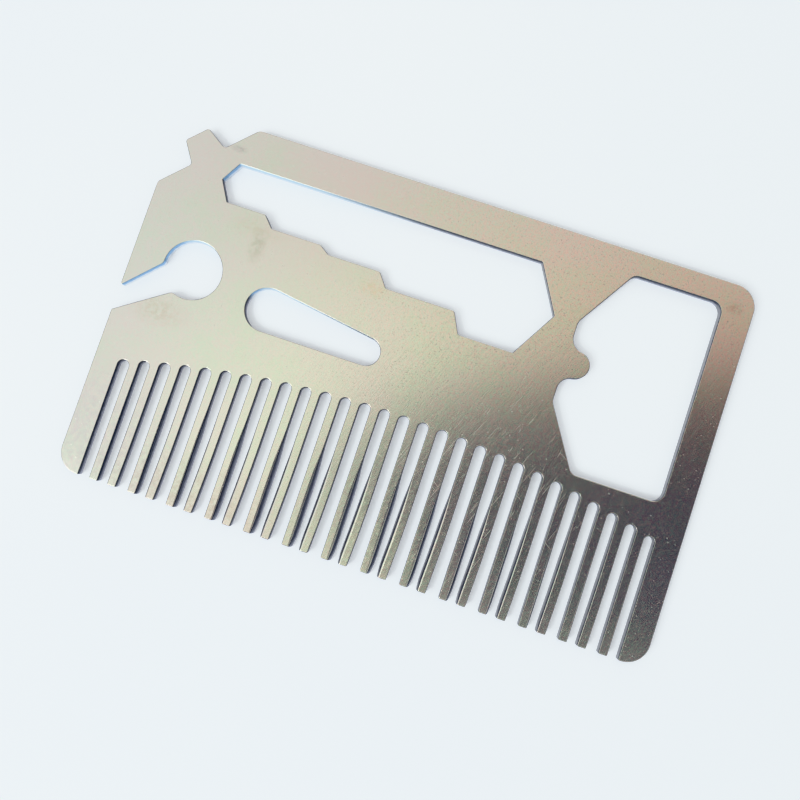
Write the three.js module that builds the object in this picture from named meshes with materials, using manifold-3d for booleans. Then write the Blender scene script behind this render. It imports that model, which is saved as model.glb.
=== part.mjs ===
// A card-size beard comb: one stamped sheet of stainless steel.
//
// The plate is drawn in millimetres from its own lower left corner, with the tooth tips along y = 0
// and the long back edge at y = CARD_HEIGHT. The mesh is then moved so that its origin is the middle
// of the underside: +X runs along the card, +Y from the tooth tips to the back edge, +Z through the sheet.

import * as THREE from 'three';
import { mergeVertices } from 'three/addons/utils/BufferGeometryUtils.js';
import Module from 'manifold-3d';

// ---- driving dimensions (mm, degrees) ----

const CARD_LENGTH = 85.0;
const CARD_HEIGHT = 54.0;
const CORNER_RADIUS = 3.2;
const SHEET = 1.5;

// Comb: an even row of slots whose round roots lie on a shallow arch.
const SLOT_COUNT = 28;
const SLOT_PITCH = 2.83;
const CRISP_SLOT_WIDTH = 1.6;
const ROLLED_SLOT_WIDTH = 1.5;
const ARCH_TOP = 22.05;
const ARCH_RADIUS = 150;

// Every other slot was punched between thin teeth and dragged their edges, so its sides are rolled over
// towards the tips. The even teeth also lean. Both are strongest in the middle of the comb.
const ROLL_START = 15.5;
const ROLL_FULL = 9.5;
const ROLL_INWARD = 0.32;
const ROLL_OUTWARD = 0.36;
const ROLL_TIP_LENGTH = 2.0;
const ROLL_SHARE_AT_TIP = 0.35;
const EVEN_TOOTH_ROLL_SHARE = 0.75;
const LEAN_START = 12;
const LEAN_AT_TIP = 0.3;

// Cut corner with the screwdriver blade on it.
const CUT_LEG = 11.4;
const CUT_END_RADIUS = 1.2;
const BLADE_CENTRE = 8.16;
const BLADE_HEIGHT = 3.6;
const BLADE_TIP_WIDTH = 3.7;
const BLADE_TAPER = 12;
const BLADE_TIP_RADIUS = 0.45;
const BLADE_ROOT_RADIUS = 0.5;

// Keyhole notch, open to the left edge.
const KEYHOLE = { x: 9.05, y: 32.05, r: 4.2 };
const KEYHOLE_UPPER_LIP = { y: 26.8, angle: 45.8 };
const KEYHOLE_LOWER_LIP = { y: 23.3, angle: 34 };
const KEYHOLE_LIP_RADIUS = 0.9;

// Teardrop slot with a flat lower edge.
const TEARDROP_FLOOR = 26.9;
const TEARDROP_BIG = { x: 20.85, r: 3.1 };
const TEARDROP_SMALL = { x: 35.85, r: 2.0 };

// Stepped wrench slot: each floor is one hexagon size below the shared upper edge.
const WRENCH_TOP = 48.53;
const WRENCH_LEFT = 10.4;
const WRENCH_RIGHT = 55.2;
const WRENCH_FLANK = 1.5;
const WRENCH_STEP_RADIUS = 0.5;
const WRENCH_END_RADIUS = 0.2;
const WRENCH_STEPS = [
  { flats: 5.5, play: 0.25, ends: 16.2 },
  { flats: 7, play: 0.4, ends: 25.0 },
  { flats: 8, play: 0.4, ends: 34.15 },
  { flats: 10, play: 0.4, ends: 45.75 },
  { flats: 13, play: 0.4, ends: WRENCH_RIGHT },
];
const HEXAGON_SIDE_ANGLE = 60;

// Bottle opener window, the same above and below its middle line.
const OPENER = { left: 62.5, right: 80.75, middle: 36.26, halfHeight: 14.5 };
const OPENER_SIDE_ANGLE = 58;
const OPENER_SIDE_START = 5.8;
const OPENER_SIDE_RADIUS = 1.8;
const OPENER_LEFT_CORNER_RADIUS = 1.3;
const OPENER_RIGHT_CORNER_RADIUS = 1.6;
const NUB = { x: 64.0, r: 1.92 };
const NUB_ROOT_RADIUS = 2.0;

// Faceting: how far a straight piece may stray from its arc, and how finely rolled edges are cut.
const CHORD_ERROR = 0.02;
const SLOT_SIDE_STATIONS = 7;
const ROLL_LAYERS = 3;
const SAME_POINT = 1e-4;

const STEEL_COLOR = 0xc8c2b4;

// ---- outline helpers ----

const degrees = (angle) => (angle * Math.PI) / 180;

// Joins an arc to a path. THREE draws the straight line that leads up to it.
function addArc(path, centre, radius, from, to, clockwise) {
  const angleOf = (point) => Math.atan2(point.y - centre.y, point.x - centre.x);
  path.absarc(centre.x, centre.y, radius, angleOf(from), angleOf(to), clockwise);
}

// Runs a path through corners given as [x, y, radius], coming from one point and leaving for another.
function addRoundedCorners(path, comingFrom, corners, leavingFor) {
  const points = [comingFrom, ...corners, leavingFor].map(([x, y]) => new THREE.Vector2(x, y));
  corners.forEach(([, , radius], index) => {
    const corner = points[index + 1];
    const toBefore = points[index].clone().sub(corner).normalize();
    const toAfter = points[index + 2].clone().sub(corner).normalize();
    const halfAngle = toBefore.angleTo(toAfter) / 2;
    const reach = radius / Math.tan(halfAngle);
    const centre = toBefore.clone().add(toAfter).setLength(radius / Math.sin(halfAngle)).add(corner);
    const isRightTurn = toBefore.cross(toAfter) > 0;
    const arcStart = toBefore.multiplyScalar(reach).add(corner);
    const arcEnd = toAfter.multiplyScalar(reach).add(corner);
    addArc(path, centre, radius, arcStart, arcEnd, isRightTurn);
  });
}

function closedRoundedPath(corners) {
  const path = new THREE.Path();
  addRoundedCorners(path, corners.at(-1), corners, corners[0]);
  return path;
}

function pieceCount(curve) {
  if (!curve.isEllipseCurve) {
    return 1;
  }
  const turnPerPiece = 2 * Math.acos(1 - CHORD_ERROR / curve.xRadius);
  return Math.ceil(curve.getLength() / curve.xRadius / turnPerPiece);
}

// The points of a closed path, without the doubled ones where two of its curves meet.
function outlinePoints(path) {
  const points = path.curves.flatMap((curve) => curve.getPoints(pieceCount(curve)));
  return points.filter((point, index) => point.distanceTo(points.at(index - 1)) > SAME_POINT);
}

// ---- plate outline ----

// Counter-clockwise: lower edge, right edge, back edge, cut corner, left edge.
function plateOutline() {
  const r = CORNER_RADIUS;
  const quarter = Math.PI / 2;
  const outline = new THREE.Path();
  outline.absarc(r, r, r, 2 * quarter, 3 * quarter);
  outline.absarc(CARD_LENGTH - r, r, r, 3 * quarter, 4 * quarter);
  outline.absarc(CARD_LENGTH - r, CARD_HEIGHT - r, r, 0, quarter);
  const onBackEdge = [CARD_LENGTH - r, CARD_HEIGHT];
  const onLeftEdge = [0, KEYHOLE_UPPER_LIP.y];
  addRoundedCorners(outline, onBackEdge, cutCorners(), onLeftEdge);
  addKeyholeNotch(outline);
  return outline;
}

// Corners from the back edge, down the 45 degree cut and round the blade, to the left edge.
// Distances along the cut are counted from its end on the back edge.
function cutCorners() {
  const onCut = (distance, height) => [
    CUT_LEG - (distance + height) * Math.SQRT1_2,
    CARD_HEIGHT - (distance - height) * Math.SQRT1_2,
  ];
  const tipHalf = BLADE_TIP_WIDTH / 2;
  const rootHalf = tipHalf + BLADE_HEIGHT * Math.tan(degrees(BLADE_TAPER));
  return [
    [...onCut(0, 0), CUT_END_RADIUS],
    [...onCut(BLADE_CENTRE - rootHalf, 0), BLADE_ROOT_RADIUS],
    [...onCut(BLADE_CENTRE - tipHalf, BLADE_HEIGHT), BLADE_TIP_RADIUS],
    [...onCut(BLADE_CENTRE + tipHalf, BLADE_HEIGHT), BLADE_TIP_RADIUS],
    [...onCut(BLADE_CENTRE + rootHalf, 0), BLADE_ROOT_RADIUS],
    [...onCut(CUT_LEG * Math.SQRT2, 0), CUT_END_RADIUS],
  ];
}

function addKeyholeNotch(outline) {
  const upper = lipIntoKeyhole(KEYHOLE_UPPER_LIP, 1);
  const lower = lipIntoKeyhole(KEYHOLE_LOWER_LIP, -1);
  outline.lineTo(0, KEYHOLE_UPPER_LIP.y);
  addArc(outline, upper.roundCentre, KEYHOLE_LIP_RADIUS, upper.onLip, upper.onHole, false);
  addArc(outline, KEYHOLE, KEYHOLE.r, upper.onHole, lower.onHole, true);
  addArc(outline, lower.roundCentre, KEYHOLE_LIP_RADIUS, lower.onHole, lower.onLip, false);
  outline.lineTo(0, KEYHOLE_LOWER_LIP.y);
}

// A lip runs straight in from the left edge, then rounds over into the keyhole's circle.
// metalSide is 1 where the metal lies to the left of that run, and -1 where it lies to the right.
function lipIntoKeyhole(lip, metalSide) {
  const along = new THREE.Vector2(Math.cos(degrees(lip.angle)), Math.sin(degrees(lip.angle)));
  const intoMetal = new THREE.Vector2(-along.y, along.x).multiplyScalar(metalSide * KEYHOLE_LIP_RADIUS);
  const hole = new THREE.Vector2(KEYHOLE.x, KEYHOLE.y);
  const start = new THREE.Vector2(0, lip.y).add(intoMetal);
  const toHole = hole.clone().sub(start);
  const nearest = toHole.dot(along);
  const missSquared = toHole.lengthSq() - nearest ** 2;
  const run = nearest - Math.sqrt((KEYHOLE.r + KEYHOLE_LIP_RADIUS) ** 2 - missSquared);
  const roundCentre = along.clone().multiplyScalar(run).add(start);
  const onLip = roundCentre.clone().sub(intoMetal);
  const onHole = roundCentre.clone().sub(hole).setLength(KEYHOLE.r).add(hole);
  return { roundCentre, onLip, onHole };
}

// ---- closed openings ----

function teardropHole() {
  const { x: bigX, r: bigR } = TEARDROP_BIG;
  const { x: smallX, r: smallR } = TEARDROP_SMALL;
  const floorAngle = -Math.PI / 2;
  const roofAngle = Math.PI / 2 - 2 * Math.atan2(bigR - smallR, smallX - bigX);
  const hole = new THREE.Path();
  hole.absarc(smallX, TEARDROP_FLOOR + smallR, smallR, floorAngle, roofAngle);
  hole.absarc(bigX, TEARDROP_FLOOR + bigR, bigR, roofAngle, floorAngle + 2 * Math.PI);
  return hole;
}

function wrenchHole() {
  const widthOf = (step) => step.flats + step.play;
  const apexReach = (width) => width / 2 / Math.tan(degrees(HEXAGON_SIDE_ANGLE));
  const leftWidth = widthOf(WRENCH_STEPS[0]);
  const rightWidth = widthOf(WRENCH_STEPS.at(-1));
  const floorCorners = WRENCH_STEPS.flatMap((step, index) => {
    const floor = WRENCH_TOP - widthOf(step);
    const starts = index === 0 ? WRENCH_LEFT : WRENCH_STEPS[index - 1].ends + WRENCH_FLANK;
    return [[starts, floor, WRENCH_STEP_RADIUS], [step.ends, floor, WRENCH_STEP_RADIUS]];
  });
  floorCorners[0][2] = WRENCH_END_RADIUS;
  floorCorners.at(-1)[2] = WRENCH_END_RADIUS;
  return closedRoundedPath([
    [WRENCH_LEFT, WRENCH_TOP, WRENCH_END_RADIUS],
    [WRENCH_LEFT - apexReach(leftWidth), WRENCH_TOP - leftWidth / 2, WRENCH_END_RADIUS],
    ...floorCorners,
    [WRENCH_RIGHT + apexReach(rightWidth), WRENCH_TOP - rightWidth / 2, WRENCH_END_RADIUS],
    [WRENCH_RIGHT, WRENCH_TOP, WRENCH_END_RADIUS],
  ]);
}

// The nub's tip is one arc, and a wider arc on each side leads back to the straight left wall.
function openerHole() {
  const { left, right, middle, halfHeight } = OPENER;
  const sideEndX = left + (halfHeight - OPENER_SIDE_START) / Math.tan(degrees(OPENER_SIDE_ANGLE));
  const rootX = left + NUB_ROOT_RADIUS;
  const rootRise = Math.sqrt((NUB_ROOT_RADIUS + NUB.r) ** 2 - (rootX - NUB.x) ** 2);
  const tangentAngle = Math.atan2(rootRise, rootX - NUB.x);
  const lowerHalf = [
    [left, middle - OPENER_SIDE_START, OPENER_SIDE_RADIUS],
    [sideEndX, middle - halfHeight, OPENER_LEFT_CORNER_RADIUS],
    [right, middle - halfHeight, OPENER_RIGHT_CORNER_RADIUS],
  ];
  const upperHalf = lowerHalf.map(([x, y, radius]) => [x, 2 * middle - y, radius]).reverse();
  const hole = new THREE.Path();
  addRoundedCorners(hole, [left, middle], [...lowerHalf, ...upperHalf], [left, middle]);
  hole.absarc(rootX, middle + rootRise, NUB_ROOT_RADIUS, Math.PI, Math.PI + tangentAngle);
  hole.absarc(NUB.x, middle, NUB.r, tangentAngle, -tangentAngle, true);
  hole.absarc(rootX, middle - rootRise, NUB_ROOT_RADIUS, Math.PI - tangentAngle, Math.PI);
  return hole;
}

// ---- comb slots ----

// Slots and teeth are numbered from the left. Tooth n stands between slots n and n + 1.
const slotCentre = (slot) => CARD_LENGTH / 2 + (slot - (SLOT_COUNT + 1) / 2) * SLOT_PITCH;
const isRolledSlot = (slot) => slot % 2 === 0;
const slotWidth = (slot) => (isRolledSlot(slot) ? ROLLED_SLOT_WIDTH : CRISP_SLOT_WIDTH);
const isThinTooth = (tooth) => tooth > 0 && tooth < SLOT_COUNT;

function slotRootY(slot) {
  const fromMiddle = slotCentre(slot) - CARD_LENGTH / 2;
  return ARCH_TOP - ARCH_RADIUS + Math.sqrt(ARCH_RADIUS ** 2 - fromMiddle ** 2);
}

// How strongly a tooth was dragged: nothing at the ends of the comb, all of it in the middle.
const rollShare = (tooth) => (isThinTooth(tooth) ? Math.sin((Math.PI * tooth) / SLOT_COUNT) : 0);
const leanShare = (tooth) => Math.sqrt(rollShare(tooth));

// Sideways offset of a rolled-over edge: inwards at the top face, bulging outwards at the underside.
function rollOffset(y, z) {
  const along = THREE.MathUtils.smoothstep(ROLL_START - y, 0, ROLL_START - ROLL_FULL);
  const atTip = THREE.MathUtils.lerp(ROLL_SHARE_AT_TIP, 1, THREE.MathUtils.smoothstep(y, 0, ROLL_TIP_LENGTH));
  const depth = THREE.MathUtils.clamp(1 - z / SHEET, 0, 1);
  const rounded = Math.sqrt(1 - (1 - depth) ** 2);
  return along * THREE.MathUtils.lerp(-ROLL_INWARD, ROLL_OUTWARD * atTip, rounded);
}

const leanOffset = (y) => -LEAN_AT_TIP * (Math.max(LEAN_START - Math.max(y, 0), 0) / LEAN_START) ** 2;

function rightEdgeOffset(tooth, y, z) {
  if (tooth % 2 === 0) {
    return leanShare(tooth) * leanOffset(y);
  }
  return rollShare(tooth) * rollOffset(y, z);
}

function leftEdgeOffset(tooth, y, z) {
  if (tooth % 2 === 1) {
    return 0;
  }
  return leanShare(tooth) * leanOffset(y) - EVEN_TOOTH_ROLL_SHARE * rollShare(tooth) * rollOffset(y, z);
}

// A straight slot with a round root, with stations down its sides, open past the tooth tips.
function slotOutline(slot) {
  const centre = slotCentre(slot);
  const half = slotWidth(slot) / 2;
  const rootCentreY = slotRootY(slot) - half;
  const outline = new THREE.Path();
  outline.absarc(centre, rootCentreY, half, 0, Math.PI);
  for (let station = 0; station < SLOT_SIDE_STATIONS; station += 1) {
    outline.lineTo(centre - half, ROLL_START * (1 - station / (SLOT_SIDE_STATIONS - 1)));
  }
  outline.lineTo(centre - half, -SHEET);
  outline.lineTo(centre + half, -SHEET);
  for (let station = SLOT_SIDE_STATIONS - 1; station >= 0; station -= 1) {
    outline.lineTo(centre + half, ROLL_START * (1 - station / (SLOT_SIDE_STATIONS - 1)));
  }
  return outline;
}

// The straight slot, with each side moved to follow the edge of the tooth beside it.
function slotCutter(slot) {
  const layers = isRolledSlot(slot) ? ROLL_LAYERS : 1;
  const layer = SHEET / layers;
  const cutter = new THREE.ExtrudeGeometry(new THREE.Shape(outlinePoints(slotOutline(slot))), {
    depth: SHEET + 2 * layer,
    steps: layers + 2,
    bevelEnabled: false,
  });
  cutter.translate(0, 0, -layer);
  const place = cutter.attributes.position;
  for (let index = 0; index < place.count; index += 1) {
    const [x, y, z] = [place.getX(index), place.getY(index), place.getZ(index)];
    const isLeftSide = x < slotCentre(slot);
    const offset = isLeftSide ? rightEdgeOffset(slot - 1, y, z) : leftEdgeOffset(slot, y, z);
    place.setX(index, x + offset);
  }
  return cutter;
}

// ---- solids ----

const wasm = await Module();
wasm.setup();

function toSolid(geometry) {
  geometry.deleteAttribute('normal');
  geometry.deleteAttribute('uv');
  const merged = mergeVertices(geometry, SAME_POINT);
  const vertProperties = new Float32Array(merged.attributes.position.array);
  const triVerts = new Uint32Array(merged.index.array);
  return new wasm.Manifold(new wasm.Mesh({ numProp: 3, vertProperties, triVerts }));
}

function toGeometry(solid) {
  const { vertProperties, triVerts } = solid.getMesh();
  const geometry = new THREE.BufferGeometry();
  geometry.setAttribute('position', new THREE.BufferAttribute(vertProperties, 3));
  geometry.setIndex(new THREE.BufferAttribute(triVerts, 1));
  geometry.computeVertexNormals();
  return geometry;
}

function combPlate() {
  const shape = new THREE.Shape(outlinePoints(plateOutline()));
  shape.holes = [teardropHole(), wrenchHole(), openerHole()].map(
    (hole) => new THREE.Path(outlinePoints(hole)),
  );
  let solid = toSolid(new THREE.ExtrudeGeometry(shape, { depth: SHEET, bevelEnabled: false }));
  for (let slot = 1; slot <= SLOT_COUNT; slot += 1) {
    solid = solid.subtract(toSolid(slotCutter(slot)));
  }
  const steel = new THREE.MeshStandardMaterial({ color: STEEL_COLOR, roughness: 0.35, metalness: 1 });
  const mesh = new THREE.Mesh(toGeometry(solid), steel);
  mesh.name = 'comb_plate';
  mesh.position.set(-CARD_LENGTH / 2, -CARD_HEIGHT / 2, 0);
  return mesh;
}

const beardComb = new THREE.Group();
beardComb.add(combPlate());

export default beardComb;
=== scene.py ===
import math

import bpy
import numpy as np
from mathutils import Matrix, Vector
from mathutils.geometry import area_tri, delaunay_2d_cdt


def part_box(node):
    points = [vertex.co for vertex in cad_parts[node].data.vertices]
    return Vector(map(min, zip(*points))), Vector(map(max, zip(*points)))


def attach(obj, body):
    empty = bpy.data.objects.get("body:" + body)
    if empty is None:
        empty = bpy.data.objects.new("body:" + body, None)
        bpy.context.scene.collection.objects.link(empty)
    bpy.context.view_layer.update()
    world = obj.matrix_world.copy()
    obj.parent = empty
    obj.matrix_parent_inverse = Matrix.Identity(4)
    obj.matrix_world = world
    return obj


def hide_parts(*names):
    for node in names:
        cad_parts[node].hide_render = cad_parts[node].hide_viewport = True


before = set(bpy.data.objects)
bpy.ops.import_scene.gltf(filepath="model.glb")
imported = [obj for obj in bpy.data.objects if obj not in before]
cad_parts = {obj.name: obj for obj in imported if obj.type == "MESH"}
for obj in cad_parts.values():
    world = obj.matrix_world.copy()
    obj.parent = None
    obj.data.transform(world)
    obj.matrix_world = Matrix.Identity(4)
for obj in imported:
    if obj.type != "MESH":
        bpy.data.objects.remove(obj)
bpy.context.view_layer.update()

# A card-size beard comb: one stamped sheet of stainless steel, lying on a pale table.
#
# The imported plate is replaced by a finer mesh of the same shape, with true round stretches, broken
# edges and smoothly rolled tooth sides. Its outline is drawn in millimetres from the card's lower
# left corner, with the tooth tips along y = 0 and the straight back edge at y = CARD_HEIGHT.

PLATE_NODE = "comb_plate"
BODY = "root"

# ---- driving dimensions (mm, degrees) ----

MM = 0.001
plate_low, plate_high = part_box(PLATE_NODE)
CARD_LENGTH, CARD_HEIGHT, SHEET = (plate_high - plate_low) / MM
CORNER_RADIUS = 3.2

# Comb: an even row of slots whose round roots lie on a shallow arch.
SLOT_COUNT = 28
SLOT_PITCH = 2.83
CRISP_SLOT_WIDTH = 1.6
ROLLED_SLOT_WIDTH = 1.5
ARCH_TOP = 22.05
ARCH_RADIUS = 150

# Every other slot dragged the edges of the thin teeth beside it, so its sides are rolled over
# towards the tips. The even teeth also lean.
ROLL_START = 15.5
ROLL_FULL = 9.5
ROLL_INWARD = 0.32
ROLL_OUTWARD = 0.36
ROLL_TIP_LENGTH = 2.0
ROLL_SHARE_AT_TIP = 0.35
EVEN_TOOTH_ROLL_SHARE = 0.75
LEAN_START = 12
LEAN_AT_TIP = 0.3

# Cut corner with the screwdriver blade on it.
CUT_LEG = 11.4
CUT_END_RADIUS = 1.2
BLADE_CENTRE = 8.16
BLADE_HEIGHT = 3.6
BLADE_TIP_WIDTH = 3.7
BLADE_TAPER = 12
BLADE_TIP_RADIUS = 0.45
BLADE_ROOT_RADIUS = 0.5

# Keyhole notch, open to the left edge.
KEYHOLE = (9.05, 32.05)
KEYHOLE_RADIUS = 4.2
KEYHOLE_UPPER_LIP = (26.8, 45.8)
KEYHOLE_LOWER_LIP = (23.3, 34)
KEYHOLE_LIP_RADIUS = 0.9

# Teardrop slot with a flat lower edge: x and radius of its two ends.
TEARDROP_FLOOR = 26.9
TEARDROP_BIG = (20.85, 3.1)
TEARDROP_SMALL = (35.85, 2.0)

# Stepped wrench slot. A step is its size across flats, its play, and where its floor ends.
WRENCH_TOP = 48.53
WRENCH_LEFT = 10.4
WRENCH_RIGHT = 55.2
WRENCH_FLANK = 1.5
WRENCH_STEP_RADIUS = 0.5
WRENCH_END_RADIUS = 0.2
WRENCH_STEPS = [
    (5.5, 0.25, 16.2),
    (7, 0.4, 25.0),
    (8, 0.4, 34.15),
    (10, 0.4, 45.75),
    (13, 0.4, WRENCH_RIGHT),
]
HEXAGON_SIDE_ANGLE = 60

# Bottle opener window, the same above and below its middle line.
OPENER_LEFT = 62.5
OPENER_RIGHT = 80.75
OPENER_MIDDLE = 36.26
OPENER_HALF_HEIGHT = 14.5
OPENER_SIDE_ANGLE = 58
OPENER_SIDE_START = 5.8
OPENER_SIDE_RADIUS = 1.8
OPENER_LEFT_CORNER_RADIUS = 1.3
OPENER_RIGHT_CORNER_RADIUS = 1.6
NUB_X = 64.0
NUB_RADIUS = 1.92
NUB_ROOT_RADIUS = 2.0

# Small rounding that only the finished steel has.
TOP_BREAK = 0.12
BOTTOM_BREAK = 0.05
SHARP_CORNER_RADIUS = 0.16

# How finely the mesh is cut: the furthest that a chord lies from its arc, and the counts of cuts.
CHORD_ERROR = 0.002
MAX_TURN = math.radians(15)
SIDE_STATIONS = 16
TOP_BREAK_RINGS = 6
WALL_RINGS = 6
BOTTOM_BREAK_RINGS = 3

# Limits of the arithmetic (mm, mm2): the step that measures a slope, how near to each other doubled
# points of an outline or of a cap are, and the area below which a triangle is empty. A normal counts
# as vertical from the last one up.
DERIVATIVE_STEP = 1e-4
DOUBLED_POINT = 1e-4
SAME_PLACE = 1e-6
NO_AREA = 1e-6
VERTICAL = 0.999

# Makes delaunay_2d_cdt fill the whole convex hull with triangles.
FILL_HULL = 0

# ---- outline: lists of edge points with the metal on their left ----


class EdgePoint:
    """A point of an outline, with its outward normal and the tooth side that it belongs to."""

    def __init__(self, x, y, normal_x, normal_y, tooth=None, side=0):
        self.x = x
        self.y = y
        self.normal_x = normal_x
        self.normal_y = normal_y
        self.tooth = tooth
        self.side = side


def arc(centre, radius, start, end, tooth=None, side=0):
    """Points of an arc from one angle to another, in radians. It bulges out of the metal if it runs
    counter-clockwise, and into it if it runs clockwise."""
    turn = end - start
    finest = 2 * math.acos(1 - min(CHORD_ERROR / radius, 0.5))
    steps = math.ceil(abs(turn) / min(finest, MAX_TURN))
    outward = math.copysign(1, turn)
    points = []
    for step in range(steps + 1):
        angle = start + turn * step / steps
        across, up = math.cos(angle), math.sin(angle)
        place = (centre[0] + radius * across, centre[1] + radius * up)
        points.append(EdgePoint(*place, outward * across, outward * up, tooth, side))
    return points


def angle_from(centre, point):
    return math.atan2(point[1] - centre[1], point[0] - centre[0])


def arc_between(centre, radius, start, end, clockwise=False):
    """The arc from one point to another round a centre, the given way."""
    first = angle_from(centre, start)
    turn = (angle_from(centre, end) - first) % (2 * math.pi)
    if clockwise:
        turn -= 2 * math.pi
    return arc(centre, radius, first, first + turn)


def rounded_corner(before, corner, after, radius):
    """The arc that rounds off a corner between the points before and after it."""
    corner = Vector(corner[:2])
    to_before = (Vector(before[:2]) - corner).normalized()
    to_after = (Vector(after[:2]) - corner).normalized()
    half_angle = to_before.angle(to_after) / 2
    reach = radius / math.tan(half_angle)
    centre = corner + (to_before + to_after).normalized() * (radius / math.sin(half_angle))
    is_right_turn = to_before.cross(to_after) > 0
    start, end = corner + to_before * reach, corner + to_after * reach
    return arc_between(centre, radius, start, end, is_right_turn)


def rounded_corners(coming_from, corners, leaving_for):
    """Edge points through corners given as (x, y, radius)."""
    run = [coming_from, *corners, leaving_for]
    points = []
    for before, corner, after in zip(run, run[1:], run[2:]):
        points += rounded_corner(before, corner, after, corner[2])
    return points


def as_hole(points):
    """The same closed outline with the metal outside it."""
    return [EdgePoint(p.x, p.y, -p.normal_x, -p.normal_y) for p in reversed(points)]


# ---- comb ----

# Slots and teeth are numbered from the left. Tooth n stands between slots n and n + 1.
RIGHT_SIDE = 1
LEFT_SIDE = -1


def slot_centre(slot):
    return CARD_LENGTH / 2 + (slot - (SLOT_COUNT + 1) / 2) * SLOT_PITCH


def slot_width(slot):
    return ROLLED_SLOT_WIDTH if slot % 2 == 0 else CRISP_SLOT_WIDTH


def slot_root_y(slot):
    from_middle = slot_centre(slot) - CARD_LENGTH / 2
    return ARCH_TOP - ARCH_RADIUS + math.sqrt(ARCH_RADIUS**2 - from_middle**2)


def roll_share(tooth):
    """How strongly a tooth was dragged: nothing at the ends of the comb, all of it in the middle."""
    return math.sin(math.pi * tooth / SLOT_COUNT) if 0 < tooth < SLOT_COUNT else 0


def lean_share(tooth):
    return math.sqrt(roll_share(tooth))


def smoothstep(value, low, high):
    share = min(max((value - low) / (high - low), 0), 1)
    return share * share * (3 - 2 * share)


def roll_offset(y, z):
    """Inwards at the top face, bulging outwards at the underside."""
    along = smoothstep(ROLL_START - y, 0, ROLL_START - ROLL_FULL)
    at_tip = ROLL_SHARE_AT_TIP + (1 - ROLL_SHARE_AT_TIP) * smoothstep(y, 0, ROLL_TIP_LENGTH)
    height = min(max(z / SHEET, 0), 1)
    rounded = math.sqrt(1 - height**2)
    return along * (-ROLL_INWARD + (ROLL_INWARD + ROLL_OUTWARD * at_tip) * rounded)


def lean_offset(y):
    return -LEAN_AT_TIP * (max(LEAN_START - max(y, 0), 0) / LEAN_START) ** 2


def side_offset(tooth, side, y, z):
    """How far a tooth's side is pushed along X at a height on the tooth and through the sheet."""
    is_even = tooth % 2 == 0
    lean = lean_share(tooth) * lean_offset(y) if is_even else 0
    if is_even and side == LEFT_SIDE:
        return lean - EVEN_TOOTH_ROLL_SHARE * roll_share(tooth) * roll_offset(y, z)
    if not is_even and side == RIGHT_SIDE:
        return roll_share(tooth) * roll_offset(y, z)
    return lean


def straight_side(x, start_y, end_y, tooth, side):
    points = []
    for station in range(1, SIDE_STATIONS):
        y = start_y + (end_y - start_y) * station / SIDE_STATIONS
        points.append(EdgePoint(x, y, side, 0, tooth, side))
    return points


def slot_edge(slot):
    """Up the right side of the tooth before the slot, round the root, down the next tooth's side."""
    half = slot_width(slot) / 2
    centre = slot_centre(slot)
    root = (centre, slot_root_y(slot) - half)
    r = SHARP_CORNER_RADIUS
    quarter = math.pi / 2
    before, after = (slot - 1, RIGHT_SIDE), (slot, LEFT_SIDE)
    return [
        *arc((centre - half - r, r), r, -quarter, 0, *before),
        *straight_side(centre - half, r, root[1], *before),
        *arc(root, half, 2 * quarter, 0),
        *straight_side(centre + half, root[1], r, *after),
        *arc((centre + half + r, r), r, 2 * quarter, 3 * quarter, *after),
    ]


# ---- plate outline and openings ----


def cut_corners():
    """Corners from the back edge, down the 45 degree cut and round the blade, to the left edge."""

    def on_cut(distance, height):
        across = CUT_LEG - (distance + height) * math.sqrt(0.5)
        return across, CARD_HEIGHT - (distance - height) * math.sqrt(0.5)

    tip_half = BLADE_TIP_WIDTH / 2
    root_half = tip_half + BLADE_HEIGHT * math.tan(math.radians(BLADE_TAPER))
    return [
        (*on_cut(0, 0), CUT_END_RADIUS),
        (*on_cut(BLADE_CENTRE - root_half, 0), BLADE_ROOT_RADIUS),
        (*on_cut(BLADE_CENTRE - tip_half, BLADE_HEIGHT), BLADE_TIP_RADIUS),
        (*on_cut(BLADE_CENTRE + tip_half, BLADE_HEIGHT), BLADE_TIP_RADIUS),
        (*on_cut(BLADE_CENTRE + root_half, 0), BLADE_ROOT_RADIUS),
        (*on_cut(CUT_LEG * math.sqrt(2), 0), CUT_END_RADIUS),
    ]


def lip_into_keyhole(lip, metal_side):
    """Where a straight lip, its round end and the keyhole's circle meet. metal_side is 1 where the
    metal lies to the left of the run in from the left edge, and -1 where it lies to the right."""
    start_y, angle = lip[0], math.radians(lip[1])
    along = Vector((math.cos(angle), math.sin(angle)))
    into_metal = Vector((-along.y, along.x)) * metal_side * KEYHOLE_LIP_RADIUS
    start = Vector((0, start_y)) + into_metal
    to_hole = Vector(KEYHOLE) - start
    nearest = to_hole.dot(along)
    miss_squared = to_hole.length_squared - nearest**2
    run = nearest - math.sqrt((KEYHOLE_RADIUS + KEYHOLE_LIP_RADIUS) ** 2 - miss_squared)
    round_centre = start + along * run
    on_lip = round_centre - into_metal
    on_hole = Vector(KEYHOLE) + (round_centre - Vector(KEYHOLE)).normalized() * KEYHOLE_RADIUS
    return round_centre, on_lip, on_hole


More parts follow.
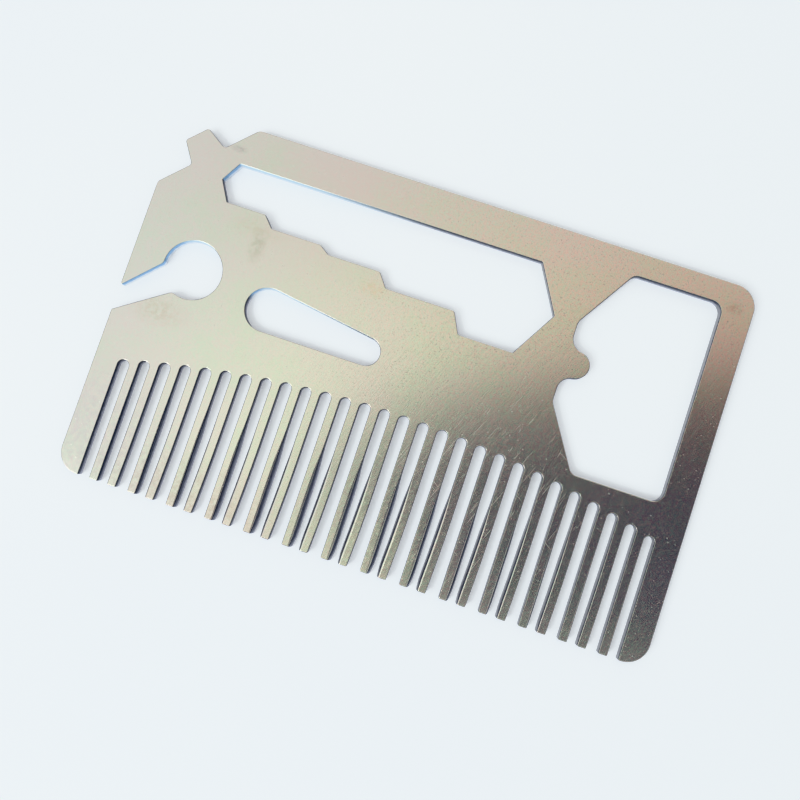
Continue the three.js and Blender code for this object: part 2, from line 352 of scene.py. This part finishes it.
def keyhole_edge():
    upper_centre, upper_on_lip, upper_on_hole = lip_into_keyhole(KEYHOLE_UPPER_LIP, 1)
    lower_centre, lower_on_lip, lower_on_hole = lip_into_keyhole(KEYHOLE_LOWER_LIP, -1)
    upper_point = (0, KEYHOLE_UPPER_LIP[0])
    lower_point = (0, KEYHOLE_LOWER_LIP[0])
    return [
        *rounded_corner((0, CARD_HEIGHT), upper_point, upper_on_lip, SHARP_CORNER_RADIUS),
        *arc_between(upper_centre, KEYHOLE_LIP_RADIUS, upper_on_lip, upper_on_hole),
        *arc_between(KEYHOLE, KEYHOLE_RADIUS, upper_on_hole, lower_on_hole, clockwise=True),
        *arc_between(lower_centre, KEYHOLE_LIP_RADIUS, lower_on_hole, lower_on_lip),
        *rounded_corner(lower_on_lip, lower_point, (0, 0), SHARP_CORNER_RADIUS),
    ]


def plate_edge():
    r = CORNER_RADIUS
    quarter = math.pi / 2
    points = arc((r, r), r, 2 * quarter, 3 * quarter)
    for slot in range(1, SLOT_COUNT + 1):
        points += slot_edge(slot)
    points += arc((CARD_LENGTH - r, r), r, 3 * quarter, 4 * quarter)
    points += arc((CARD_LENGTH - r, CARD_HEIGHT - r), r, 0, quarter)
    points += rounded_corners((CARD_LENGTH, CARD_HEIGHT), cut_corners(), (0, 0))
    return points + keyhole_edge()


def teardrop_edge():
    big_x, big_radius = TEARDROP_BIG
    small_x, small_radius = TEARDROP_SMALL
    floor_angle = -math.pi / 2
    roof_angle = math.pi / 2 - 2 * math.atan2(big_radius - small_radius, small_x - big_x)
    small = arc((small_x, TEARDROP_FLOOR + small_radius), small_radius, floor_angle, roof_angle)
    big = arc((big_x, TEARDROP_FLOOR + big_radius), big_radius, roof_angle, floor_angle + 2 * math.pi)
    return as_hole(small + big)


def wrench_edge():
    widths = [flats + play for flats, play, _ in WRENCH_STEPS]
    apex_reach = [width / 2 / math.tan(math.radians(HEXAGON_SIDE_ANGLE)) for width in widths]
    ends = [end for _, _, end in WRENCH_STEPS]
    starts = [WRENCH_LEFT, *(end + WRENCH_FLANK for end in ends[:-1])]
    corners = [
        (WRENCH_LEFT, WRENCH_TOP, WRENCH_END_RADIUS),
        (WRENCH_LEFT - apex_reach[0], WRENCH_TOP - widths[0] / 2, WRENCH_END_RADIUS),
    ]
    for width, start, end in zip(widths, starts, ends):
        start_radius = WRENCH_END_RADIUS if start == WRENCH_LEFT else WRENCH_STEP_RADIUS
        end_radius = WRENCH_END_RADIUS if end == WRENCH_RIGHT else WRENCH_STEP_RADIUS
        corners.append((start, WRENCH_TOP - width, start_radius))
        corners.append((end, WRENCH_TOP - width, end_radius))
    corners.append((WRENCH_RIGHT + apex_reach[-1], WRENCH_TOP - widths[-1] / 2, WRENCH_END_RADIUS))
    corners.append((WRENCH_RIGHT, WRENCH_TOP, WRENCH_END_RADIUS))
    return as_hole(rounded_corners(corners[-1], corners, corners[0]))


def opener_edge():
    """The nub's tip is one arc, and a wider arc on each side leads back to the straight left wall."""
    side_rise = OPENER_HALF_HEIGHT - OPENER_SIDE_START
    side_end_x = OPENER_LEFT + side_rise / math.tan(math.radians(OPENER_SIDE_ANGLE))
    root_x = OPENER_LEFT + NUB_ROOT_RADIUS
    root_rise = math.sqrt((NUB_ROOT_RADIUS + NUB_RADIUS) ** 2 - (root_x - NUB_X) ** 2)
    tangent = math.atan2(root_rise, root_x - NUB_X)
    half_outline = [
        (OPENER_LEFT, OPENER_SIDE_START, OPENER_SIDE_RADIUS),
        (side_end_x, OPENER_HALF_HEIGHT, OPENER_LEFT_CORNER_RADIUS),
        (OPENER_RIGHT, OPENER_HALF_HEIGHT, OPENER_RIGHT_CORNER_RADIUS),
    ]
    lower = [(x, OPENER_MIDDLE - rise, radius) for x, rise, radius in half_outline]
    upper = [(x, OPENER_MIDDLE + rise, radius) for x, rise, radius in reversed(half_outline)]
    middle = (OPENER_LEFT, OPENER_MIDDLE)
    return as_hole([
        *rounded_corners(middle, lower + upper, middle),
        *arc((root_x, OPENER_MIDDLE + root_rise), NUB_ROOT_RADIUS, math.pi, math.pi + tangent),
        *arc((NUB_X, OPENER_MIDDLE), NUB_RADIUS, tangent, -tangent),
        *arc((root_x, OPENER_MIDDLE - root_rise), NUB_ROOT_RADIUS, math.pi - tangent, math.pi),
    ])


# ---- mesh: rings through the sheet, closed by a flat cap on each face ----


def ring_levels():
    """(height, inset from the outline, lift of the normal) of each ring, from the top face down."""
    quarter = math.pi / 2
    levels = []
    for step in range(TOP_BREAK_RINGS + 1):
        lift = quarter * (1 - step / TOP_BREAK_RINGS)
        z = SHEET - TOP_BREAK * (1 - math.sin(lift))
        levels.append((z, TOP_BREAK * (1 - math.cos(lift)), lift))
    first = math.acos(1 - TOP_BREAK / SHEET)
    last = math.acos(BOTTOM_BREAK / SHEET)
    for step in range(1, WALL_RINGS):
        slant = first + (last - first) * step / WALL_RINGS
        levels.append((SHEET * math.cos(slant), 0, 0))
    for step in range(BOTTOM_BREAK_RINGS + 1):
        lift = quarter * step / BOTTOM_BREAK_RINGS
        z = BOTTOM_BREAK * (1 - math.sin(lift))
        levels.append((z, BOTTOM_BREAK * (1 - math.cos(lift)), -lift))
    return levels


def push_along_x(point, y, z):
    return 0 if point.tooth is None else side_offset(point.tooth, point.side, y, z)


def ring_point(point, level):
    """Place (mm, card coordinates) and normal of an outline point on one ring."""
    z, inset, lift = level
    x = point.x - point.normal_x * inset
    y = point.y - point.normal_y * inset
    push = push_along_x(point, y, z)
    normal = Vector((point.normal_x * math.cos(lift), point.normal_y * math.cos(lift), math.sin(lift)))
    if point.tooth is not None and abs(normal.z) < VERTICAL:
        slope_y = (push_along_x(point, y + DERIVATIVE_STEP, z) - push) / DERIVATIVE_STEP
        slope_z = (push - push_along_x(point, y, z - DERIVATIVE_STEP)) / DERIVATIVE_STEP
        normal.y -= slope_y * normal.x
        normal.z -= slope_z * normal.x
    return Vector((x + push, y, z)), normal.normalized()


def cap_triangles(loops, places):
    """Triangles over the metal between the loops of one face, as indices into places."""
    flat = [place.to_2d() for place in places]
    edges = [(loop[i - 1], loop[i]) for loop in loops for i in range(len(loop))]
    triangulation = delaunay_2d_cdt(flat, edges, [], FILL_HULL, SAME_PLACE)
    points, _, faces, originals, _, _ = triangulation
    triangles = [[points[corner] for corner in face] for face in faces]
    centres = np.array([sum(triangle, Vector((0, 0))) / 3 for triangle in triangles])
    on_metal = is_between(np.array(flat), np.array(edges), centres)
    return [
        [originals[corner][0] for corner in face]
        for face, triangle, inside in zip(faces, triangles, on_metal)
        if inside and area_tri(*triangle) > NO_AREA
    ]


def is_between(points, edges, places):
    """Whether each place lies inside the closed loops, so that a line from it crosses them an odd
    number of times."""
    starts, ends = points[edges[:, 0]], points[edges[:, 1]]
    x, y = places[:, :1], places[:, 1:]
    crosses = (starts[:, 1] > y) != (ends[:, 1] > y)
    rise = np.where(starts[:, 1] == ends[:, 1], 1, ends[:, 1] - starts[:, 1])
    crossing_x = starts[:, 0] + (y - starts[:, 1]) * (ends[:, 0] - starts[:, 0]) / rise
    return (crosses & (crossing_x > x)).sum(axis=1) % 2 == 1


def wall_faces(loops, ring_count, ring_size):
    """Four-sided faces between each ring and the next one down."""
    faces = []
    for ring in range(ring_count - 1):
        upper, lower = ring * ring_size, (ring + 1) * ring_size
        for loop in loops:
            for i in range(len(loop)):
                a, b = loop[i - 1], loop[i]
                faces.append((lower + a, lower + b, upper + b, upper + a))
    return faces


def plate_mesh():
    levels = ring_levels()
    edges = [plate_edge(), teardrop_edge(), wrench_edge(), opener_edge()]
    outlines = [without_doubles(edge) for edge in edges]
    ring_size = 0
    loops = []
    for outline in outlines:
        loops.append(range(ring_size, ring_size + len(outline)))
        ring_size += len(outline)
    places, normals = [], []
    for level in levels:
        for outline in outlines:
            for point in outline:
                place, normal = ring_point(point, level)
                places.append(place)
                normals.append(normal)
    faces = wall_faces(loops, len(levels), ring_size)
    faces += cap_triangles(loops, places[:ring_size])
    bottom = (len(levels) - 1) * ring_size
    for triangle in cap_triangles(loops, places[bottom:]):
        faces.append([bottom + corner for corner in reversed(triangle)])
    to_frame = Vector((plate_low.x, plate_low.y, plate_low.z))
    mesh = bpy.data.meshes.new("comb_steel")
    mesh.from_pydata([place * MM + to_frame for place in places], [], faces)
    mesh.shade_smooth()
    mesh.normals_split_custom_set_from_vertices(normals)
    return mesh


def without_doubles(outline):
    """An outline without the doubled points where two of its stretches meet."""
    return [
        p for i, p in enumerate(outline)
        if math.hypot(p.x - outline[i - 1].x, p.y - outline[i - 1].y) > DOUBLED_POINT
    ]


# ---- shader helpers ----


class Shader:
    """Adds nodes to a node tree. An input is a value or another node's output."""

    def __init__(self, tree):
        self.tree = tree
        self.tree.nodes.clear()

    def add(self, kind, inputs=None, **settings):
        node = self.tree.nodes.new("ShaderNode" + kind)
        for name, value in settings.items():
            setattr(node, name, value)
        for name, value in (inputs or {}).items():
            if isinstance(value, bpy.types.NodeSocket):
                self.tree.links.new(value, node.inputs[name])
            else:
                node.inputs[name].default_value = value
        return node

    def show(self, surface, output):
        """Links a surface or a background to the tree's output."""
        self.tree.links.new(surface.outputs[0], self.add(output).inputs[0])

    def math(self, operation, first, second=0.0, third=0.0):
        inputs = {0: first, 1: second, 2: third}
        return self.add("Math", inputs, operation=operation).outputs[0]

    def product(self, first, *others):
        for other in others:
            first = self.math("MULTIPLY", first, other)
        return first

    def parts(self, vector):
        """X, Y and Z of a vector."""
        return self.add("SeparateXYZ", {0: vector}).outputs

    def blend(self, share, first, second, kind="MIX"):
        node = self.add("Mix", {0: share, 6: first, 7: second}, data_type="RGBA", blend_type=kind)
        return node.outputs[2]

    def spread(self, value, low, high, to_low=0.0, to_high=1.0):
        """A value between low and high, mapped smoothly to the given range."""
        inputs = {"Value": value, "From Min": low, "From Max": high, "To Min": to_low, "To Max": to_high}
        return self.add("MapRange", inputs, interpolation_type="SMOOTHSTEP").outputs[0]

    def fade(self, value, low, high):
        """1 up to low, falling smoothly to 0 at high."""
        return self.spread(value, low, high, 1.0, 0.0)

    def oval(self, place, middle, reach, solid_share=0.0, turn=0):
        """1 over the solid middle of an oval, falling smoothly to 0 at its edge."""
        rotation = (0, 0, math.radians(turn))
        inputs = {"Vector": place, "Location": middle, "Rotation": rotation, "Scale": reach}
        local = self.add("Mapping", inputs, vector_type="TEXTURE").outputs[0]
        distance = self.add("VectorMath", {0: local}, operation="LENGTH").outputs["Value"]
        return self.fade(distance, solid_share, 1.0)

    def noise(self, place, scale, detail=2.0, roughness=0.5):
        inputs = {"Vector": place, "Scale": scale, "Detail": detail, "Roughness": roughness}
        return self.add("TexNoise", inputs).outputs["Fac"]


def new_material(name):
    material = bpy.data.materials.new(name)
    material.use_nodes = True
    return material, Shader(material.node_tree)


# ---- steel ----

# Noise is given as its scale per millimetre, its detail, and how rough that detail is. A pair that
# goes with it says between which levels of the noise the effect sets in.

STEEL_COLOR = (0.74, 0.70, 0.62, 1)
OLIVE_STEEL = (0.71, 0.715, 0.605, 1)
OLIVE_NOISE = (0.35, 4, 0.6)
OLIVE_LEVELS = (0.35, 0.65)
ROSY_STEEL = (0.76, 0.69, 0.63, 1)
ROSY_NOISE = (0.06, 3)
ROSY_LEVELS = (0.4, 0.7)

# Speckle and pits are weaker at the left of the card.
RED_SPECK = (1.10, 0.95, 0.97, 1)
GREEN_SPECK = (0.94, 1.05, 1.03, 1)
SPECK_NOISE = (2.8, 4, 0.8)
SPECK_LEVELS = (0.35, 0.65)
SPECKLED_X = (20, 60)
SPECKLED_SHARE_AT_LEFT = 0.3
PIT_COLOR = (0.35, 0.33, 0.30, 1)
PIT_COLOR_SHARE = 0.5
PIT_NOISE = (4.5, 2, 0.7)
PIT_LEVELS = (0.62, 0.70)

# Marks of tumbling and wear: most run one way, and fewer cross them. A family of scratches is its
# direction, how far it is drawn out, and its levels.
GRAIN_ANGLE = 68
GRAIN_STRETCH = 6
GRAIN_NOISE = (5.0, 3)
SCRATCH_NOISE = (12.0, 0)
SCRATCH_FAMILIES = [
    (GRAIN_ANGLE, 60, (0.73, 0.84)),
    (GRAIN_ANGLE + 8, 30, (0.78, 0.88)),
    (-32, 50, (0.79, 0.88)),
]
NICK_NOISE = (4.0, 0)
NICK_LEVELS = (0.79, 0.86)
WORN_MIDDLE = (56, 19)
WORN_REACH = (26, 22)
WORN_SOLID_SHARE = 0.3
SCRATCHES_ELSEWHERE = 0.15

# Roughness in the middle of the grain and speckle, and what each mark adds to it. Depths are in mm.
BASE_ROUGHNESS = 0.20
GRAIN_ROUGHNESS = 0.08
SPECK_ROUGHNESS = 0.04
SCRATCH_ROUGHNESS = 0.12
CUT_ROUGHNESS = 0.2
GRAIN_DEPTH = 0.0025
SCRATCH_DEPTH = 0.003
PIT_DEPTH = 0.003

# The sheared walls are dark at the top face, and are painted paler towards the underside unless they
# face
# the back edge: a painted reflection of the bright table. Rolled walls get the same painted reflection,
# with a painted cream highlight on the rim where they face the back edge. Walls that face the left edge
# are painted grey, as painted light from the lamp. Above the comb and near the keyhole, the walls that
# face
# the tooth tips get a painted reflection: blue where they face them at a slant, icy where they face them
# squarely, and bright low down.
CUT_DARK = (0.030, 0.038, 0.072, 1)
CUT_PAINTED_REFLECTION = (0.50, 0.51, 0.60, 1)
CUT_PAINTED_LAMP_GREY = (0.33, 0.33, 0.36, 1)
CUT_PAINTED_BLUE_REFLECTION = (0.27, 0.46, 0.70, 1)
CUT_PAINTED_ICY_REFLECTION = (0.56, 0.72, 0.84, 1)
CUT_PAINTED_BRIGHT_REFLECTION = (0.80, 0.84, 0.90, 1)
RIM_PAINTED_HIGHLIGHT = (0.72, 0.64, 0.54, 1)

# Between which values each of these sets in. A HEIGHT is in sheet thicknesses above the underside, a
# FACING is X or Y of the direction that the wall faces in plan, and a LIFT is how far it faces up.
CUT_LIFT = (0.80, 0.985)
PALE_HEIGHT = (0.1, 0.75)
PALE_FACING_Y = (0.2, 0.8)
PALE_SHARE_AT_BACK = 0.25
ROLLED_LIFT = (0.08, 0.4)
ROLLED_HEIGHT = (0.87, 0.95)
ROLLED_PAINTED_REFLECTION_SHARE = 0.6
RIM_FACING_Y = (0.86, 0.96)
RIM_LIFT = (0.3, 0.6)
LAMP_LIT_FACING_X = (-0.9, -0.3)
LAMP_LIT_HEIGHT = (0.75, 1)
BLUE_REFLECTION_FACING_X = (-0.7, -0.2)
BLUE_REFLECTION_FACING_Y = (-0.6, -0.2)
BLUE_REFLECTION_X = (14, 42)
BLUE_REFLECTION_Y = (22, 26)
ICY_FACING_Y = (-0.98, -0.7)
BRIGHT_HEIGHT = (0.3, 0.6)

# The painted blue reflection reaches further round the keyhole at its left side, and the walls' colours
# have ragged edges that rise and fall by so many mm.
KEYHOLE_EXTRA_TURN = 0.4
WALL_NOISE = (2.5, 3)
WALL_RAGGEDNESS = 0.6

# Stains on the top face: six small ones, then two broad darker patches over the left teeth, and one
# broad paler stretch over the middle teeth that is a painted reflection. A patch is its place and reach
# (mm) and its tint.
STAINS_AND_SHEEN = [
    ((16.6, 38.2), (1.8, 3.4), (0.83, 0.85, 0.80, 1)),
    ((16.0, 40.5), (6.0, 2.2), (0.95, 0.95, 0.90, 1)),
    ((9.6, 50.6), (1.6, 0.8), (0.78, 0.79, 0.81, 1)),
    ((34.0, 37.5), (3.0, 1.8), (1.00, 0.92, 0.82, 1)),
    ((6.5, 25.2), (6.0, 3.2), (0.94, 0.89, 0.87, 1)),
    ((82.2, 50.6), (1.9, 1.2), (0.84, 0.80, 0.78, 1)),
    ((20.0, 1.0), (24.0, 10.0), (0.84, 0.78, 0.78, 1)),
    ((4.0, 6.0), (16.0, 14.0), (0.92, 0.89, 0.96, 1)),
    # Painted reflection that brightens the middle teeth.
    ((46.0, 4.0), (13.0, 12.0), (1.30, 1.32, 1.22, 1)),
]
PATCH_NOISE = (1.2, 4, 0.7)
PATCH_LEVELS = (0.35, 0.65)
THINNEST_PATCH = 0.3


def card_place(shader):
    """Millimetres from the card's lower left corner, and from the underside."""
    place = shader.add("TexCoord").outputs["Object"]
    return shader.add(
        "Mapping",
        {"Vector": place, "Location": (CARD_LENGTH / 2, CARD_HEIGHT / 2, 0), "Scale": (1 / MM,) * 3},
    ).outputs[0]


def oval_on_card(shader, place, middle, reach, solid_share=0.0):
    """An oval on the top face. It fades through the sheet and is gone at the underside."""
    return shader.oval(place, (*middle, SHEET), (*reach, SHEET), solid_share)


def streaks(shader, place, angle, stretch, noise):
    """Noise drawn out along a direction."""
    turn = (0, 0, math.radians(-angle))
    turned = shader.add("Mapping", {"Vector": place, "Rotation": turn}).outputs[0]
    squeeze = (1 / stretch, 1, 1)
    drawn_out = shader.add("VectorMath", {0: turned, 1: squeeze}, operation="MULTIPLY").outputs[0]
    return shader.noise(drawn_out, *noise)


def scratches(shader, place):
    """1 along fine scratches and in small nicks, 0 elsewhere. Most are where the comb is worn."""
    marks = 0.0
    for angle, stretch, levels in SCRATCH_FAMILIES:
        family = shader.spread(streaks(shader, place, angle, stretch, SCRATCH_NOISE), *levels)
        marks = shader.math("MAXIMUM", marks, family)
    worn = oval_on_card(shader, place, WORN_MIDDLE, WORN_REACH, WORN_SOLID_SHARE)
    worn = shader.math("MULTIPLY_ADD", worn, 1 - SCRATCHES_ELSEWHERE, SCRATCHES_ELSEWHERE)
    nicks = shader.spread(shader.noise(place, *NICK_NOISE), *NICK_LEVELS)
    return shader.math("MAXIMUM", shader.product(marks, worn), nicks)


def blue_reflection_share(shader, place, facing_x, facing_y):
    """1 on the walls that get the painted blue reflection, 0 elsewhere."""
    x, y, _ = shader.parts(place)
    left_of_keyhole = (KEYHOLE[0], KEYHOLE[0] - KEYHOLE_RADIUS / 2)
    extra_turn = shader.spread(x, *left_of_keyhole, 0.0, KEYHOLE_EXTRA_TURN)
    faces_tips = shader.fade(shader.math("SUBTRACT", facing_y, extra_turn), *BLUE_REFLECTION_FACING_Y)
    faces_right = shader.spread(facing_x, *BLUE_REFLECTION_FACING_X)
    near_keyhole = shader.fade(x, *BLUE_REFLECTION_X)
    above_comb = shader.spread(y, *BLUE_REFLECTION_Y)
    return shader.product(faces_tips, near_keyhole, faces_right, above_comb)


def cut_wall_color(shader, place, normal, upward):
    in_plan = shader.add("VectorMath", {0: normal, 1: (1, 1, 0)}, operation="MULTIPLY").outputs[0]
    facing = shader.add("VectorMath", {0: in_plan}, operation="NORMALIZE").outputs[0]
    facing_x, facing_y, _ = shader.parts(facing)
    in_sheet = shader.math("DIVIDE", shader.parts(place)[2], SHEET)
    raggedness = WALL_RAGGEDNESS / SHEET
    height = shader.math("SUBTRACT", in_sheet, raggedness / 2)
    height = shader.math("MULTIPLY_ADD", shader.noise(place, *WALL_NOISE), raggedness, height)

    # Painted reflection of the bright table on the lower part of the walls.
    pale_by_facing = shader.spread(facing_y, *PALE_FACING_Y, 1.0, PALE_SHARE_AT_BACK)
    pale = shader.product(shader.fade(height, *PALE_HEIGHT), pale_by_facing)
    color = shader.blend(pale, CUT_DARK, CUT_PAINTED_REFLECTION)

    # Painted reflection of the table on the rolled walls.
    rolled = shader.product(shader.spread(upward, *ROLLED_LIFT), shader.fade(in_sheet, *ROLLED_HEIGHT))
    color = shader.blend(shader.product(rolled, ROLLED_PAINTED_REFLECTION_SHARE), color, CUT_PAINTED_REFLECTION)
    # Painted cream highlight on the rims that face the back edge.
    rim = shader.product(shader.spread(facing_y, *RIM_FACING_Y), shader.spread(upward, *RIM_LIFT))
    color = shader.blend(rim, color, RIM_PAINTED_HIGHLIGHT)

    # Painted light: walls that face the left edge, towards the lamp, are painted grey.
    lamp_lit = shader.product(
        shader.fade(facing_x, *LAMP_LIT_FACING_X), shader.fade(height, *LAMP_LIT_HEIGHT)
    )
    color = shader.blend(lamp_lit, color, CUT_PAINTED_LAMP_GREY)

    # Painted reflection of the blue-lit table on the walls that face the tips, bright low down.
    blue_reflection = blue_reflection_share(shader, place, facing_x, facing_y)
    blue_reflection_color = shader.blend(shader.fade(facing_y, *ICY_FACING_Y), CUT_PAINTED_BLUE_REFLECTION, CUT_PAINTED_ICY_REFLECTION)
    color = shader.blend(blue_reflection, color, blue_reflection_color)
    bright = shader.product(blue_reflection, shader.fade(height, *BRIGHT_HEIGHT))
    return shader.blend(bright, color, CUT_PAINTED_BRIGHT_REFLECTION)


# Stains, and a painted reflection over the middle teeth.
def stains_and_sheen(shader, place, color):
    ragged = shader.spread(shader.noise(place, *PATCH_NOISE), *PATCH_LEVELS, THINNEST_PATCH, 1.0)
    for middle, reach, tint in STAINS_AND_SHEEN:
        share = shader.product(oval_on_card(shader, place, middle, reach), ragged)
        color = shader.blend(share, color, tint, "MULTIPLY")
    return color


def face_color(shader, place, speck, speckled, pits):
    olive = shader.spread(shader.noise(place, *OLIVE_NOISE), *OLIVE_LEVELS)
    rosy = shader.spread(shader.noise(place, *ROSY_NOISE), *ROSY_LEVELS)
    color = shader.blend(olive, STEEL_COLOR, OLIVE_STEEL)
    color = shader.blend(rosy, color, ROSY_STEEL)
    speck_tint = shader.blend(shader.spread(speck, *SPECK_LEVELS), RED_SPECK, GREEN_SPECK)
    color = shader.blend(speckled, color, speck_tint, "MULTIPLY")
    color = shader.blend(shader.product(pits, PIT_COLOR_SHARE), color, PIT_COLOR)
    return stains_and_sheen(shader, place, color)


def steel_material():
    material, shader = new_material("satin_steel")
    place = card_place(shader)
    normal = shader.add("NewGeometry").outputs["Normal"]
    upward = shader.math("ABSOLUTE", shader.parts(normal)[2])
    cut = shader.fade(upward, *CUT_LIFT)

    grain = streaks(shader, place, GRAIN_ANGLE, GRAIN_STRETCH, GRAIN_NOISE)
    marks = scratches(shader, place)
    speck = shader.noise(place, *SPECK_NOISE)
    speckled = shader.spread(shader.parts(place)[0], *SPECKLED_X, SPECKLED_SHARE_AT_LEFT, 1.0)
    pits = shader.product(shader.spread(shader.noise(place, *PIT_NOISE), *PIT_LEVELS), speckled)

    walls = cut_wall_color(shader, place, normal, upward)
    color = shader.blend(cut, face_color(shader, place, speck, speckled, pits), walls)

    rough = BASE_ROUGHNESS - (GRAIN_ROUGHNESS + SPECK_ROUGHNESS) / 2
    rough = shader.math("MULTIPLY_ADD", grain, GRAIN_ROUGHNESS, rough)
    rough = shader.math("MULTIPLY_ADD", speck, SPECK_ROUGHNESS, rough)
    rough = shader.math("MULTIPLY_ADD", marks, SCRATCH_ROUGHNESS, rough)
    rough = shader.math("MULTIPLY_ADD", cut, CUT_ROUGHNESS, rough)

    height = shader.math("MULTIPLY", grain, GRAIN_DEPTH)
    height = shader.math("MULTIPLY_ADD", marks, -SCRATCH_DEPTH, height)
    height = shader.math("MULTIPLY_ADD", pits, -PIT_DEPTH, height)
    bump = shader.add("Bump", {"Height": height, "Strength": 1.0, "Distance": MM})

    surface = shader.add(
        "BsdfPrincipled",
        {"Base Color": color, "Metallic": 1.0, "Roughness": rough, "Normal": bump.outputs[0]},
    )
    shader.show(surface, "OutputMaterial")
    return material


# ---- setting: table, light and camera ----

# The table's size is in metres, and its edges are far out of sight.
TABLE_SIZE = 30.0
TABLE_GAP = 0.02 * MM
# The table glows a little: painted light that lifts the shadows on it and lights the walls from below.
TABLE_GLOW = 0.22
TABLE_ROUGHNESS = 0.7
# The table is painted lighter and bluer at the left than at the right: painted falloff of the lamp's
# light.
TABLE_PAINTED_LIT_COLOR = (0.99, 1.0, 1.0, 1)
TABLE_PAINTED_SHADED_COLOR = (0.90, 0.92, 0.93, 1)
TABLE_CLOUD_COLOR = (0.91, 0.93, 0.95, 1)
TABLE_CLOUDS_PER_METRE = 6.0
TABLE_CLOUD_DETAIL = 3
TABLE_CLOUD_LEVELS = (0.3, 0.7)


def table_material():
    material, shader = new_material("pale_table")
    place = shader.add("TexCoord").outputs["Object"]
    # Painted falloff of the lamp's light, from the left side to the right.
    side = shader.spread(shader.parts(place)[0], -CARD_LENGTH * MM, CARD_LENGTH * MM)
    color = shader.blend(side, TABLE_PAINTED_LIT_COLOR, TABLE_PAINTED_SHADED_COLOR)
    cloud = shader.noise(place, TABLE_CLOUDS_PER_METRE, TABLE_CLOUD_DETAIL)
    color = shader.blend(shader.spread(cloud, *TABLE_CLOUD_LEVELS), color, TABLE_CLOUD_COLOR)
    surface = shader.add(
        "BsdfPrincipled",
        {
            "Base Color": color,
            "Roughness": TABLE_ROUGHNESS,
            "Emission Color": color,
            "Emission Strength": TABLE_GLOW,
        },
    )
    shader.show(surface, "OutputMaterial")
    return material


def table():
    half = TABLE_SIZE / 2
    z = plate_low.z - TABLE_GAP
    corners = [(-half, -half, z), (half, -half, z), (half, half, z), (-half, half, z)]
    mesh = bpy.data.meshes.new("floor")
    mesh.from_pydata(corners, [], [(0, 1, 2, 3)])
    mesh.materials.append(table_material())
    floor = bpy.data.objects.new("floor", mesh)
    bpy.context.scene.collection.objects.link(floor)


# The room is grey near the horizon and has a ceiling of soft-edged ovals that tint it. The first is
# the bright ceiling itself. The others show in the polished steel: the glow of a window, a warm wall,
# and a dark figure leaning over the lower right. Their places and reaches are in units of the
# ceiling's height above the table.
ROOM_COLOR = (0.56, 0.595, 0.62, 1)
LOWEST_CEILING_RISE = 0.02


class CeilingPatch:
    def __init__(self, middle, reach, turn, solid_share, tint):
        self.middle = middle
        self.reach = reach
        self.turn = turn
        self.solid_share = solid_share
        self.tint = tint


CEILING_PATCHES = [
    CeilingPatch((0.0, 0.0), (1.9, 1.9), 0, 0.45, (1.59, 1.60, 1.60, 1)),
    CeilingPatch((0.17, -0.04), (0.72, 0.48), 2, 0.0, (1.50, 1.50, 1.09, 1)),
    CeilingPatch((0.56, 0.30), (1.23, 0.28), 1, 0.0, (0.74, 0.49, 0.40, 1)),
    CeilingPatch((0.51, 0.035), (0.655, 0.237), 10, 0.9, (0.062, 0.060, 0.125, 1)),
]


def room_light():
    world = bpy.data.worlds.new("room")
    bpy.context.scene.world = world
    world.use_nodes = True
    shader = Shader(world.node_tree)
    x, y, z = shader.parts(shader.add("TexCoord").outputs["Generated"])
    rise = shader.math("MAXIMUM", z, LOWEST_CEILING_RISE)
    across, along = shader.math("DIVIDE", x, rise), shader.math("DIVIDE", y, rise)
    ceiling = shader.add("CombineXYZ", {0: across, 1: along}).outputs[0]
    color = ROOM_COLOR
    for patch in CEILING_PATCHES:
        middle, reach = (*patch.middle, 0), (*patch.reach, 1)
        share = shader.oval(ceiling, middle, reach, patch.solid_share, patch.turn)
        color = shader.blend(share, color, patch.tint, "MULTIPLY")
    shader.show(shader.add("Background", {"Color": color, "Strength": 1.0}), "OutputWorld")


# A soft lamp to the left, beyond the tooth tips (metres and watts). It points at the comb.
KEY_PLACE = (-0.22, -0.26, 0.36)
KEY_SIZE = 0.20
KEY_POWER = 1.0
KEY_COLOR = (0.93, 0.98, 1.0)


def key_light():
    light = bpy.data.lights.new("key", "AREA")
    light.size = KEY_SIZE
    light.energy = KEY_POWER
    light.color = KEY_COLOR
    lamp = bpy.data.objects.new("key", light)
    lamp.location = KEY_PLACE
    lamp.rotation_euler = (-Vector(KEY_PLACE)).to_track_quat("-Z", "Y").to_euler()
    bpy.context.scene.collection.objects.link(lamp)


# Where the camera stands, what it looks at on the top face (mm from the middle of the underside),
# and the compass angle on the table of the picture's upward direction.
CAMERA_PLACE = (5.286, -10.709, 120.549)
CAMERA_TARGET = (0.012, -3.043, SHEET)
CAMERA_UP_ANGLE = math.radians(108.59)
CAMERA_LENS = 38.9
CAMERA_SENSOR_WIDTH = 36


def camera():
    data = bpy.data.cameras.new("camera")
    data.sensor_width = CAMERA_SENSOR_WIDTH
    data.lens = CAMERA_LENS
    data.clip_start = MM
    place, target = Vector(CAMERA_PLACE) * MM, Vector(CAMERA_TARGET) * MM
    back = (place - target).normalized()
    up_hint = Vector((math.cos(CAMERA_UP_ANGLE), math.sin(CAMERA_UP_ANGLE), 0))
    right = up_hint.cross(back).normalized()
    up = back.cross(right)
    holder = bpy.data.objects.new("camera", data)
    holder.matrix_world = Matrix.Translation(place) @ Matrix((right, up, back)).transposed().to_4x4()
    bpy.context.scene.collection.objects.link(holder)
    bpy.context.scene.camera = holder


# ---- scene ----


def comb():
    mesh = plate_mesh()
    mesh.materials.append(steel_material())
    piece = bpy.data.objects.new("comb_steel", mesh)
    bpy.context.scene.collection.objects.link(piece)
    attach(piece, BODY)
    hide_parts(PLATE_NODE)


bpy.context.scene.view_settings.view_transform = "Khronos PBR Neutral"
comb()
table()
room_light()
key_light()
camera()
